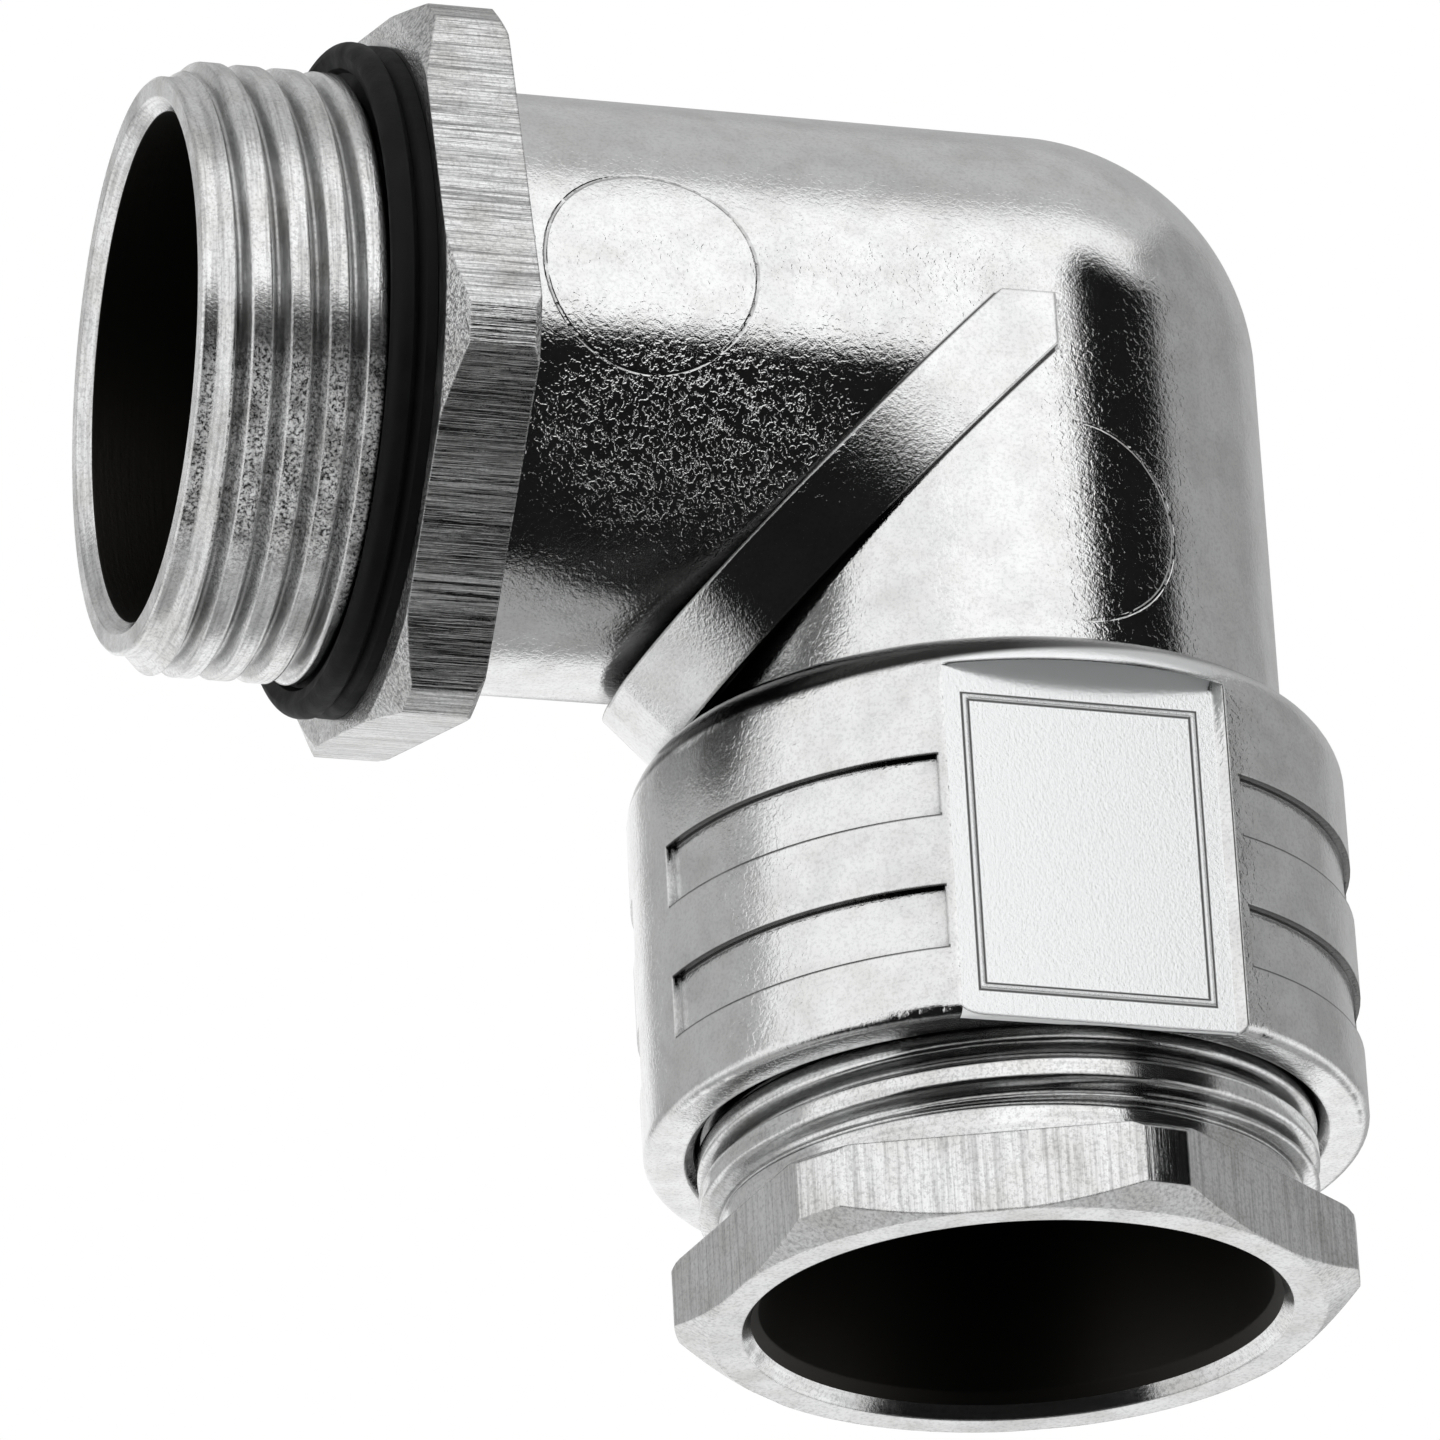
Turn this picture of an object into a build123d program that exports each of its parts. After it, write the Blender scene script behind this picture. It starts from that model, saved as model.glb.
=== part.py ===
from build123d import *
import math
import os

os.makedirs("parts", exist_ok=True)

# Millimetres. The origin is on the connection thread's axis, in the plane where a
# panel's face would lie. +X runs into the elbow, the gland arm hangs down along -Z.

# Radii that follow each other from the cable passage outwards
passage_radius = 7.9
spigot_wall = 1.65
swivel_clearance = 0.05
arm_wall = 1.5
collar_step = 2.07
collar_wall = 1.87
gland_thread_clearance = 0.05
spigot_radius = passage_radius + spigot_wall
socket_radius = spigot_radius + swivel_clearance
arm_radius = socket_radius + arm_wall
collar_radius = arm_radius + collar_step
gland_bore_radius = collar_radius - collar_wall
screw_radius = gland_bore_radius - gland_thread_clearance

# Connection thread and nipple
nipple_mouth_step = 1.45
nipple_wall = 1.9
nipple_mouth_radius = passage_radius + nipple_mouth_step
thread_radius = nipple_mouth_radius + nipple_wall
thread_length = 6.35
thread_tip_length = 0.6
thread_tip_step = 0.65
thread_lead_in = 0.7
relief_step = 0.75
relief_radius = thread_radius - relief_step
nipple_mouth_reach = 1.65
mouth_chamfer = 0.5

# Connection seal, a ring with a rounded bead in front and a notch behind it
seal_gap = 0.1
seal_thickness = 1.75
seal_bore_clearance = 0.1
seal_bead_step = 1.2
seal_bead_round = 0.6
seal_notch_position = 1.1
seal_notch_half_width = 0.3
seal_notch_depth = 0.35
seal_lobe_step = 0.07
seal_bead_radius = thread_radius + seal_bead_step
seal_lobe_radius = seal_bead_radius - seal_lobe_step
seal_notch_x = seal_gap + seal_notch_position

# Nipple hexagon, its corners turned off and its front chamfered
hexagon_shoulder = 1.75
hexagon_corner_step = 1.6
hexagon_thickness = 3.3
hexagon_face_chamfer = 1.1
hexagon_face_slope = 30.0
hexagon_back_chamfer = 0.25
hexagon_turn = 17.0
hexagon_half_flats = thread_radius + hexagon_shoulder
hexagon_corner_radius = hexagon_half_flats + hexagon_corner_step

# Swivel joint between the nipple and the elbow
swivel_gap = 0.3
spigot_length = 10.3
socket_end_gap = 0.3
swivel_seal_radius = 0.5
swivel_seal_position = 2.8
swivel_seal_groove_depth = 1.05
swivel_seal_groove_width = 1.7
retaining_ring_radius = 0.5
retaining_ring_position = 6.3
retaining_groove_depth = 0.65
retaining_groove_width = 1.2
retaining_ring_clearance = 0.1
retaining_ring_opening = 30.0

# Elbow casting
socket_end_land = 1.5
bend_run = passage_radius + socket_end_land
corner_radius = 9.4
corner_sections = 8
passage_corner_radius = 5.0

# Diagonal rib in the mitre plane of the inner corner
rib_thickness = 2.9
rib_proud_inside = 2.66
rib_proud_beside = 0.35
rib_end_flat = 0.06
rib_tip = 0.15
rib_reach = math.sqrt(2) * arm_radius + rib_proud_inside
rib_half_width = arm_radius + rib_proud_beside

# Gland collar at the foot of the elbow
collar_drop = 2.7
collar_length = 15.1
collar_mouth_round = 0.4
groove_depth = 0.28
groove_width = 2.33
groove_places = (0.414, 0.75)
groove_side_angle = 80.0
groove_back_angles = (100.0, 154.0)
groove_land = 0.25
pad_half_width = 5.4
pad_turn = 1.5
pad_wall_setback = 0.5
pad_drop = 1.65
pad_crown_slope = 0.82
chamber_step = 0.45
chamber_drop = 1.4
gland_thread_length = 9.4
gland_mouth_chamfer = 0.4
collar_top = -arm_radius - collar_drop
collar_mouth = collar_top - collar_length
collar_top_round = 0.95 * (collar_radius - arm_radius)
pad_top = collar_top - pad_drop
chamber_radius = gland_bore_radius - chamber_step
chamber_length = collar_length - chamber_drop - gland_thread_length
chamber_floor = collar_top - chamber_drop
gland_thread_top = chamber_floor - chamber_length

# Packing inside the collar
packing_clearance = 0.3
washer_bore_step = 0.3
inner_washer_thickness = 1.0
insert_overreach = 2.2
insert_bore_step = 1.1
insert_chamfer = 1.2
outer_washer_thickness = 0.9
washer_radius = chamber_radius - packing_clearance
washer_bore_radius = passage_radius - washer_bore_step
insert_bore_radius = washer_bore_radius - insert_bore_step
insert_length = chamber_length + insert_overreach

# Pressure screw
screw_thread_length = 8.0
screw_front_chamfer = 0.5
screw_neck_step = 0.65
screw_neck_length = 1.05
screw_hexagon_length = 2.95
screw_flat_step = 0.15
screw_corner_step = 1.25
screw_face_step = 1.2
screw_face_chamfer = 0.65
screw_turn = 38.4
screw_bore_length = 4.0
screw_flare_step = 1.7
screw_flare_depth = 0.9
screw_mouth_step = 0.65
screw_bore_radius = washer_bore_radius
screw_half_flats = screw_radius - screw_flat_step
screw_corner_radius = screw_half_flats + screw_corner_step
screw_face_radius = screw_corner_radius - screw_face_step
screw_flare_radius = screw_bore_radius + screw_flare_step
screw_mouth_radius = screw_flare_radius + screw_mouth_step

# Places along the connection axis
hexagon_front = seal_gap + seal_thickness
hexagon_back = hexagon_front + hexagon_thickness
spigot_end = hexagon_back + spigot_length
elbow_front = hexagon_back + swivel_gap
socket_end = spigot_end + socket_end_gap
arm_offset = socket_end + bend_run
swivel_seal_x = hexagon_back + swivel_seal_position
retaining_ring_x = hexagon_back + retaining_ring_position
swivel_groove_radius = spigot_radius - swivel_seal_groove_depth
retaining_groove_radius = spigot_radius - retaining_groove_depth
retaining_wire_centre = retaining_groove_radius + retaining_ring_radius

# Places along the gland axis
inner_washer_bottom = chamber_floor - inner_washer_thickness
insert_bottom = inner_washer_bottom - insert_length
screw_front = insert_bottom - outer_washer_thickness
screw_thread_end = screw_front - screw_thread_length
screw_hexagon_top = screw_thread_end - screw_neck_length
screw_face = screw_hexagon_top - screw_hexagon_length
gland_plane = Plane(origin=(arm_offset, 0, 0), x_dir=(1, 0, 0), z_dir=(0, -1, 0))
gland_axis = Axis((arm_offset, 0, 0), (0, 0, 1))


def mitred_bend(radius, rounding, start, foot):
    """Two round arms that meet in a mitre, with the outer corner lofted round."""
    centre = radius - rounding

    def reach(angle):
        toward = math.radians(angle)
        along = centre * (math.cos(toward) + math.sin(toward))
        return along + math.sqrt(along**2 - 2 * centre**2 + rounding**2)

    first = math.degrees(math.atan2(centre, radius))
    span = 90 - 2 * first
    sections = []
    for step in range(corner_sections + 1):
        angle = first + span * step / corner_sections
        toward = math.radians(angle)
        spoke = (math.cos(toward), 0, math.sin(toward))
        normal = (-math.sin(toward), 0, math.cos(toward))
        plane = Plane(origin=(arm_offset, 0, 0), x_dir=spoke, z_dir=normal)
        half = Edge.make_ellipse(reach(angle), radius, start_angle=-90, end_angle=90)
        sections.append(plane * half)
    skin = Shell.make_loft([Wire([section]) for section in sections])
    hinge = Edge.make_line((arm_offset, -radius, 0), (arm_offset, radius, 0))
    ends = [Face(Wire([section, hinge])) for section in (sections[0], sections[-1])]
    corner = Solid(Shell([*skin.faces(), *ends]))

    crossing = (arm_offset, 0, 0)
    with BuildPart() as level_arm:
        with BuildSketch(Plane.YZ.offset(start)):
            Circle(radius)
        extrude(amount=arm_offset - start + 2 * radius)
        split(bisect_by=Plane(origin=crossing, z_dir=(1, 0, -1)), keep=Keep.BOTTOM)
        split(bisect_by=Plane(origin=crossing, z_dir=(radius, 0, -centre)), keep=Keep.BOTTOM)
    with BuildPart() as hanging_arm:
        with BuildSketch(Plane.XY.offset(foot)):
            with Locations((arm_offset, 0)):
                Circle(radius)
        extrude(amount=2 * radius - foot)
        split(bisect_by=Plane(origin=crossing, z_dir=(-1, 0, 1)), keep=Keep.BOTTOM)
        split(bisect_by=Plane(origin=crossing, z_dir=(-centre, 0, radius)), keep=Keep.BOTTOM)
    return level_arm.part + hanging_arm.part + corner


# The nipple is turned from hexagon bar: thread, relief, hexagon and swivel spigot in one
# piece. The hexagon's corners and front are turned off round.
slope = math.tan(math.radians(hexagon_face_slope))
front_chamfer = hexagon_face_chamfer * slope
with BuildPart() as connection_nipple:
    with BuildSketch(Plane.YZ.offset(hexagon_front)):
        RegularPolygon(hexagon_half_flats, 6, major_radius=False, rotation=hexagon_turn)
    extrude(amount=hexagon_thickness)
    with BuildSketch(Plane.XY):
        with BuildLine():
            Polyline(
                (hexagon_front, 0),
                (hexagon_front, hexagon_corner_radius - hexagon_face_chamfer),
                (hexagon_front + front_chamfer, hexagon_corner_radius),
                (hexagon_back - hexagon_back_chamfer, hexagon_corner_radius),
                (hexagon_back, hexagon_corner_radius - hexagon_back_chamfer),
                (hexagon_back, 0),
                close=True,
            )
        make_face()
    revolve(axis=Axis.X, mode=Mode.INTERSECT)
    with BuildSketch(Plane.XY):
        with BuildLine():
            Polyline(
                (-thread_length, 0),
                (-thread_length, thread_radius - thread_tip_step),
                (thread_tip_length - thread_length, thread_radius - thread_tip_step),
                (thread_tip_length + thread_lead_in - thread_length, thread_radius),
                (0, thread_radius),
                (0, relief_radius),
                (hexagon_front, relief_radius),
                (hexagon_back, spigot_radius),
                (spigot_end, spigot_radius),
                (spigot_end, 0),
                close=True,
            )
        make_face()
    revolve(axis=Axis.X)
    with BuildSketch(Plane.XY):
        with BuildLine():
            Polyline(
                (-thread_length, 0),
                (-thread_length, nipple_mouth_radius + mouth_chamfer),
                (mouth_chamfer - thread_length, nipple_mouth_radius),
                (nipple_mouth_reach, nipple_mouth_radius),
                (nipple_mouth_reach + nipple_mouth_step, passage_radius),
                (spigot_end, passage_radius),
                (spigot_end, 0),
                close=True,
            )
        make_face()
    revolve(axis=Axis.X, mode=Mode.SUBTRACT)
    for groove_x, width, bottom in (
        (swivel_seal_x, swivel_seal_groove_width, swivel_groove_radius),
        (retaining_ring_x, retaining_groove_width, retaining_groove_radius),
    ):
        with BuildSketch(Plane.YZ.offset(groove_x - width / 2)):
            Circle(spigot_radius + 1)
            Circle(bottom, mode=Mode.SUBTRACT)
        extrude(amount=width, mode=Mode.SUBTRACT)
connection_nipple.part.label = "connection_nipple"
export_step(connection_nipple.part, "parts/connection_nipple.step")

# Rubber connection seal, pushed over the relief up to the hexagon
with BuildPart() as connection_seal:
    with BuildSketch(Plane.XY):
        with BuildLine():
            Polyline(
                (seal_gap, relief_radius + seal_bore_clearance),
                (seal_gap, seal_bead_radius),
                (seal_notch_x - seal_notch_half_width, seal_bead_radius),
                (seal_notch_x, seal_bead_radius - seal_notch_depth),
                (seal_notch_x + seal_notch_half_width, seal_lobe_radius),
                (hexagon_front, seal_lobe_radius),
                (hexagon_front, relief_radius + seal_bore_clearance),
                close=True,
            )
        make_face()
        bead_front = vertices().group_by(Axis.X)[0].sort_by(Axis.Y)[-1]
        fillet(bead_front, seal_bead_round)
    revolve(axis=Axis.X)
connection_seal.part.label = "connection_seal"
export_step(connection_seal.part, "parts/connection_seal.step")

# O-ring that seals the swivel, stretched into its groove on the spigot
with BuildPart() as swivel_seal:
    with BuildSketch(Plane.XY):
        with Locations((swivel_seal_x, swivel_groove_radius + swivel_seal_radius)):
            Circle(swivel_seal_radius)
    revolve(axis=Axis.X)
swivel_seal.part.label = "swivel_seal"
export_step(swivel_seal.part, "parts/swivel_seal.step")

# Open wire ring that holds the spigot in the elbow and lets it turn
with BuildPart() as retaining_ring:
    with BuildSketch(Plane.XY):
        with Locations((retaining_ring_x, retaining_wire_centre)):
            Circle(retaining_ring_radius)
    revolve(axis=Axis.X, revolution_arc=360 - retaining_ring_opening)
retaining_ring.part.label = "retaining_ring"
export_step(retaining_ring.part, "parts/retaining_ring.step")

# The elbow is one casting: mitred arms with a rounded outer corner, the diagonal rib, and
# the grooved collar with its flat pad. Socket, chamber and gland thread are bored.
elbow_outside = mitred_bend(arm_radius, corner_radius, elbow_front, collar_mouth)
elbow_passage = mitred_bend(passage_radius, passage_corner_radius, elbow_front, collar_mouth)
mitre_plane = Plane(origin=(arm_offset, 0, 0), x_dir=(-1, 0, -1), z_dir=(1, 0, -1))
with BuildPart() as elbow_body:
    add(elbow_outside)

    with BuildSketch(Plane.XY.offset(collar_mouth)):
        with Locations((arm_offset, 0)):
            Circle(collar_radius)
    extrude(amount=collar_top - collar_mouth)
    rims = edges().filter_by(GeomType.CIRCLE)
    rims = rims.filter_by(lambda rim: abs(rim.radius - collar_radius) < 0.01).sort_by(Axis.Z)
    fillet(rims[-1], collar_top_round)
    rims = edges().filter_by(GeomType.CIRCLE)
    rims = rims.filter_by(lambda rim: abs(rim.radius - collar_radius) < 0.01).sort_by(Axis.Z)
    fillet(rims[0], collar_mouth_round)

    pad_depth = math.sqrt(collar_radius**2 - pad_half_width**2)
    pad_lean = math.tan(math.radians(pad_turn))
    pad_right = pad_half_width - pad_wall_setback
    wall_foot = (pad_right + pad_half_width) * pad_lean - pad_depth
    far = 2 * collar_radius
    with BuildSketch(Plane.XY.offset(collar_mouth)):
        with BuildLine():
            Polyline(
                (arm_offset - far, -pad_depth - (far - pad_half_width) * pad_lean),
                (arm_offset + pad_right, wall_foot),
                (arm_offset + pad_right + far, wall_foot - far),
                (arm_offset - far, -far),
                close=True,
            )
        make_face()
    pad_cut = extrude(amount=collar_length, mode=Mode.PRIVATE)
    roof_radius = collar_radius + (pad_top - collar_mouth) / pad_crown_slope
    roof = Cone(roof_radius, 1, (roof_radius - 1) * pad_crown_slope,
                align=(Align.CENTER, Align.CENTER, Align.MIN), mode=Mode.PRIVATE)
    add(pad_cut & roof.moved(Location((arm_offset, 0, collar_mouth))), mode=Mode.SUBTRACT)

    groove_start = math.degrees(math.asin((pad_half_width + groove_land) / collar_radius))
    for place in groove_places:
        bottom = collar_top - place * collar_length - groove_width / 2
        with BuildSketch(Plane.XY.offset(bottom)):
            for start, end in ((groove_start, groove_side_angle), groove_back_angles):
                for side in (-1, 1):
                    first = math.radians(start) * side
                    last = math.radians(end) * side
                    with BuildLine():
                        Polyline(
                            (arm_offset, 0),
                            (arm_offset + far * math.sin(first), -far * math.cos(first)),
                            (arm_offset + far * math.sin(last), -far * math.cos(last)),
                            close=True,
                        )
                    make_face()
            with Locations((arm_offset, 0)):
                Circle(collar_radius + 0.5, mode=Mode.INTERSECT)
                Circle(collar_radius - groove_depth, mode=Mode.SUBTRACT)
        extrude(amount=groove_width, mode=Mode.SUBTRACT)

    with BuildSketch(mitre_plane):
        Ellipse(rib_reach, rib_half_width)
        with Locations((-rib_reach, 0)):
            Rectangle(2 * rib_reach - rib_end_flat, 4 * rib_half_width,
                      align=(Align.MIN, Align.CENTER), mode=Mode.INTERSECT)
    rib = extrude(amount=rib_thickness / 2, both=True, mode=Mode.PRIVATE)
    corner_x = arm_offset + rib_tip
    corner_block = Box(60, 60, 60, align=(Align.MAX, Align.CENTER, Align.MAX), mode=Mode.PRIVATE)
    add(rib & corner_block.moved(Location((corner_x, 0, rib_tip))))

    add(elbow_passage, mode=Mode.SUBTRACT)
    with BuildSketch(Plane.YZ.offset(elbow_front)):
        Circle(socket_radius)
    extrude(amount=socket_end - elbow_front, mode=Mode.SUBTRACT)
    with BuildSketch(Plane.YZ.offset(retaining_ring_x - retaining_groove_width / 2)):
        Circle(retaining_wire_centre + retaining_ring_radius + retaining_ring_clearance)
    extrude(amount=retaining_groove_width, mode=Mode.SUBTRACT)

    with BuildSketch(gland_plane):
        with BuildLine():
            Polyline(
                (0, chamber_floor),
                (chamber_radius, chamber_floor),
                (chamber_radius, gland_thread_top),
                (gland_bore_radius, gland_thread_top - chamber_step),
                (gland_bore_radius, collar_mouth + gland_mouth_chamfer),
                (gland_bore_radius + gland_mouth_chamfer, collar_mouth),
                (0, collar_mouth),
                close=True,
            )
        make_face()
    revolve(axis=gland_axis, mode=Mode.SUBTRACT)
elbow_body.part.label = "elbow_body"
export_step(elbow_body.part, "parts/elbow_body.step")

# Thrust washers on both sides of the sealing insert
with BuildPart() as inner_thrust_washer:
    with BuildSketch(Plane.XY.offset(inner_washer_bottom)):
        with Locations((arm_offset, 0)):
            Circle(washer_radius)
            Circle(washer_bore_radius, mode=Mode.SUBTRACT)
    extrude(amount=inner_washer_thickness)
inner_thrust_washer.part.label = "inner_thrust_washer"
export_step(inner_thrust_washer.part, "parts/inner_thrust_washer.step")

with BuildPart() as outer_thrust_washer:
    with BuildSketch(Plane.XY.offset(screw_front)):
        with Locations((arm_offset, 0)):
            Circle(washer_radius)
            Circle(washer_bore_radius, mode=Mode.SUBTRACT)
    extrude(amount=outer_washer_thickness)
outer_thrust_washer.part.label = "outer_thrust_washer"
export_step(outer_thrust_washer.part, "parts/outer_thrust_washer.step")

# Rubber insert that is squeezed onto the cable
with BuildPart() as sealing_insert:
    with BuildSketch(Plane.XY.offset(insert_bottom)):
        with Locations((arm_offset, 0)):
            Circle(washer_radius)
            Circle(insert_bore_radius, mode=Mode.SUBTRACT)
    extrude(amount=insert_length)
    bore_ends = edges().filter_by(GeomType.CIRCLE)
    bore_ends = bore_ends.filter_by(lambda end: abs(end.radius - insert_bore_radius) < 0.01)
    chamfer(bore_ends, insert_chamfer)
sealing_insert.part.label = "sealing_insert"
export_step(sealing_insert.part, "parts/sealing_insert.step")

# The pressure screw is turned from hexagon bar, with a flared mouth for the cable
with BuildPart() as pressure_screw:
    with BuildSketch(Plane.XY.offset(screw_face)):
        with Locations((arm_offset, 0)):
            RegularPolygon(screw_half_flats, 6, major_radius=False, rotation=screw_turn)
    extrude(amount=screw_hexagon_length)
    with BuildSketch(gland_plane):
        with BuildLine():
            Polyline(
                (0, screw_face),
                (screw_face_radius, screw_face),
                (screw_corner_radius, screw_face + screw_face_chamfer),
                (screw_corner_radius, screw_hexagon_top),
                (0, screw_hexagon_top),
                close=True,
            )
        make_face()
    revolve(axis=gland_axis, mode=Mode.INTERSECT)
    with BuildSketch(gland_plane):
        with BuildLine():
            Polyline(
                (0, screw_hexagon_top),
                (screw_radius - screw_neck_step, screw_hexagon_top),
                (screw_radius - screw_neck_step, screw_thread_end),
                (screw_radius, screw_thread_end),
                (screw_radius, screw_front - screw_front_chamfer),
                (screw_radius - screw_front_chamfer, screw_front),
                (0, screw_front),
                close=True,
            )
        make_face()
    revolve(axis=gland_axis)
    with BuildSketch(gland_plane):
        with BuildLine():
            Polyline(
                (0, screw_face),
                (screw_mouth_radius, screw_face),
                (screw_flare_radius, screw_face + screw_flare_depth),
                (screw_bore_radius, screw_front - screw_bore_length),
                (screw_bore_radius, screw_front),
                (0, screw_front),
                close=True,
            )
        make_face()
    revolve(axis=gland_axis, mode=Mode.SUBTRACT)
pressure_screw.part.label = "pressure_screw"
export_step(pressure_screw.part, "parts/pressure_screw.step")
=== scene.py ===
import math

import bmesh
import bpy
from mathutils import Matrix, Vector


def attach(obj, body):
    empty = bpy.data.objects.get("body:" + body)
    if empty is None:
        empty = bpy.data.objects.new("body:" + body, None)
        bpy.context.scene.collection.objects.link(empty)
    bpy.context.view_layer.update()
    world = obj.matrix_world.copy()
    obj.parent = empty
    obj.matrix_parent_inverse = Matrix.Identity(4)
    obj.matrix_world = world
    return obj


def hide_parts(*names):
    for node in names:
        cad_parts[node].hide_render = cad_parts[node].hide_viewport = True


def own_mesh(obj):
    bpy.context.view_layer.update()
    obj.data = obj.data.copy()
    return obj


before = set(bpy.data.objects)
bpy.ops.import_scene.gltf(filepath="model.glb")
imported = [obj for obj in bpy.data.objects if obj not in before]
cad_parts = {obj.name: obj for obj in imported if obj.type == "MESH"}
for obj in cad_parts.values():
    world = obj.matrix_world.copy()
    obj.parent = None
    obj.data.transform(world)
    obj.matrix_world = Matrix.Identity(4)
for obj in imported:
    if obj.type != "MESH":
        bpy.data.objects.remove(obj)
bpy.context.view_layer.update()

# The camera looks up at the gland from in front, from below and a little from the left,
# through a long lens. Its place was fitted to the thread, the hexagons and the collar.
gland_x = 0.02515  # the gland arm's axis, in metres along the connection thread's axis
camera_data = bpy.data.cameras.new("camera")
camera_data.lens = 267.5
camera_data.sensor_width = 36.0
camera_data.clip_start = 0.02
camera_data.clip_end = 20.0
camera = bpy.data.objects.new("camera", camera_data)
bpy.context.scene.collection.objects.link(camera)
camera.matrix_world = Matrix(
    (
        (0.96100646, -0.06851918, -0.26790243, gland_x - 0.1147173),
        (-0.27204695, -0.40793141, -0.87154026, -0.3408037),
        (-0.04956859, 0.91043785, -0.41066516, -0.1731563),
        (0.0, 0.0, 0.0, 1.0),
    )
)
bpy.context.scene.camera = camera
bpy.context.scene.view_settings.view_transform = "Standard"

# The studio: a pale floor well below, a white room, a soft box in front above, and black
# and grey cards that give plated metal its dark and middle bands. None is part of the gland.
aim = Vector((gland_x, 0.0, -0.012))
room_light = 0.8
floor_half, floor_z = 1.0, -0.7


def plain_material(name, shade, roughness):
    material = bpy.data.materials.new(name)
    material.use_nodes = True
    shader = material.node_tree.nodes["Principled BSDF"]
    shader.inputs["Base Color"].default_value = (shade, shade, shade, 1.0)
    shader.inputs["Roughness"].default_value = roughness
    shader.inputs["Specular IOR Level"].default_value = 0.1
    return material


def face_gland(obj, azimuth, elevation, distance):
    """Azimuth 0 is in front of the gland and counts towards +X."""
    a, e = math.radians(azimuth), math.radians(elevation)
    way = Vector((math.sin(a) * math.cos(e), -math.cos(a) * math.cos(e), math.sin(e)))
    obj.location = aim + way * distance
    obj.rotation_euler = way.to_track_quat("Z", "Y").to_euler()
    bpy.context.scene.collection.objects.link(obj)


def card(name, azimuth, elevation, distance, width, height, shade, cut=0.0):
    """cut trims the upper corners, the right one by that share of the card's height."""
    right, top = width / 2, height / 2
    upper = [(right, top, 0), (-right, top, 0)]
    if cut:
        upper = [
            (right, top - cut * height, 0),
            (0.2 * right, top - 0.12 * height, 0),
            (-0.45 * right, top, 0),
            (-right, top - 0.7 * cut * height, 0),
        ]
    corners = [(-right, -top, 0), (right, -top, 0), *upper]
    mesh = bpy.data.meshes.new(name)
    mesh.from_pydata(corners, [], [tuple(range(len(corners)))])
    mesh.materials.append(plain_material(name, shade, 0.9))
    obj = bpy.data.objects.new(name, mesh)
    face_gland(obj, azimuth, elevation, distance)
    obj.visible_camera = False
    obj.visible_shadow = False
    obj.visible_diffuse = False


# name, azimuth, elevation, distance, width, height, shade
card("dark_card_right", 47, 14, 0.5, 0.32, 0.65, 0.01, cut=0.26)
card("dark_card_low", -8, -24, 0.55, 1.1, 0.58, 0.01)
card("dark_card_under", -8, -72, 0.5, 1.0, 0.62, 0.01)
card("grey_card_below", -8, -120, 0.5, 1.0, 0.46, 0.5)
card("grey_card_top", 10, 103.5, 0.6, 1.15, 0.9, 0.7)
card("grey_card_right", 97, 18, 0.55, 0.6, 0.64, 0.46)
card("grey_card_left", -130, 24, 0.55, 0.68, 0.8, 0.6)
card("grey_card_behind", 146, 24, 0.55, 0.4, 0.8, 0.58)

floor_mesh = bpy.data.meshes.new("floor")
floor_mesh.from_pydata(
    [
        (-floor_half, -floor_half, floor_z),
        (floor_half, -floor_half, floor_z),
        (floor_half, floor_half, floor_z),
        (-floor_half, floor_half, floor_z),
    ],
    [],
    [(0, 1, 2, 3)],
)
floor_mesh.materials.append(plain_material("floor_paper", 0.93, 0.9))
floor = bpy.data.objects.new("floor", floor_mesh)
bpy.context.scene.collection.objects.link(floor)

# The room is plain white where the camera sees it or its reflection, and a bit dimmer as light.
room = bpy.data.worlds.new("room")
bpy.context.scene.world = room
room.use_nodes = True
room_nodes, room_links = room.node_tree.nodes, room.node_tree.links
background = room_nodes["Background"]
background.inputs["Color"].default_value = (1.0, 1.0, 1.0, 1.0)
ray = room_nodes.new("ShaderNodeLightPath")
seen = ray.outputs["Is Camera Ray"]
for way in ("Is Glossy Ray", "Is Transmission Ray"):
    either = room_nodes.new("ShaderNodeMath")
    either.operation = "MAXIMUM"
    room_links.new(seen, either.inputs[0])
    room_links.new(ray.outputs[way], either.inputs[1])
    seen = either.outputs[0]
level = room_nodes.new("ShaderNodeMapRange")
level.inputs["To Min"].default_value = room_light
level.inputs["To Max"].default_value = 1.0
room_links.new(seen, level.inputs["Value"])
room_links.new(level.outputs["Result"], background.inputs["Strength"])

key_lamp = bpy.data.lights.new("key_box", "AREA")
key_lamp.shape = "RECTANGLE"
key_lamp.size = 0.75
key_lamp.size_y = 0.8
key_lamp.energy = 0.28
face_gland(bpy.data.objects.new("key_box", key_lamp), 3, 33, 0.8)

# The connection nipple is turned in one piece from hexagon bar and nickel plated: pipe
# thread, relief under the seal, hexagon with turned corners, and the spigot it swivels on.
mm = 0.001
plate_tint = (0.85, 0.855, 0.855, 1.0)
stain_tint = (0.5, 0.48, 0.45, 1.0)
# Painted shade colour for the insides of bores.
painted_bore_shade = (0.035, 0.033, 0.03, 1.0)


def put(tree, socket, value):
    """A value is either another node's socket, which is linked, or a constant."""
    if isinstance(value, bpy.types.NodeSocket):
        tree.links.new(value, socket)
    else:
        socket.default_value = value


def node(tree, kind, **inputs):
    made = tree.nodes.new(kind)
    for name, value in inputs.items():
        put(tree, made.inputs[name.replace("_", " ")], value)
    return made


def compute(tree, operation, *values):
    made = tree.nodes.new("ShaderNodeMath")
    made.operation = operation
    for socket, value in zip(made.inputs, values):
        put(tree, socket, value)
    return made.outputs[0]


def product(tree, first, *rest):
    for value in rest:
        first = compute(tree, "MULTIPLY", first, value)
    return first


def largest(tree, first, *rest):
    for value in rest:
        first = compute(tree, "MAXIMUM", first, value)
    return first


def under(tree, value, limit):
    return compute(tree, "LESS_THAN", value, limit)


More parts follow.
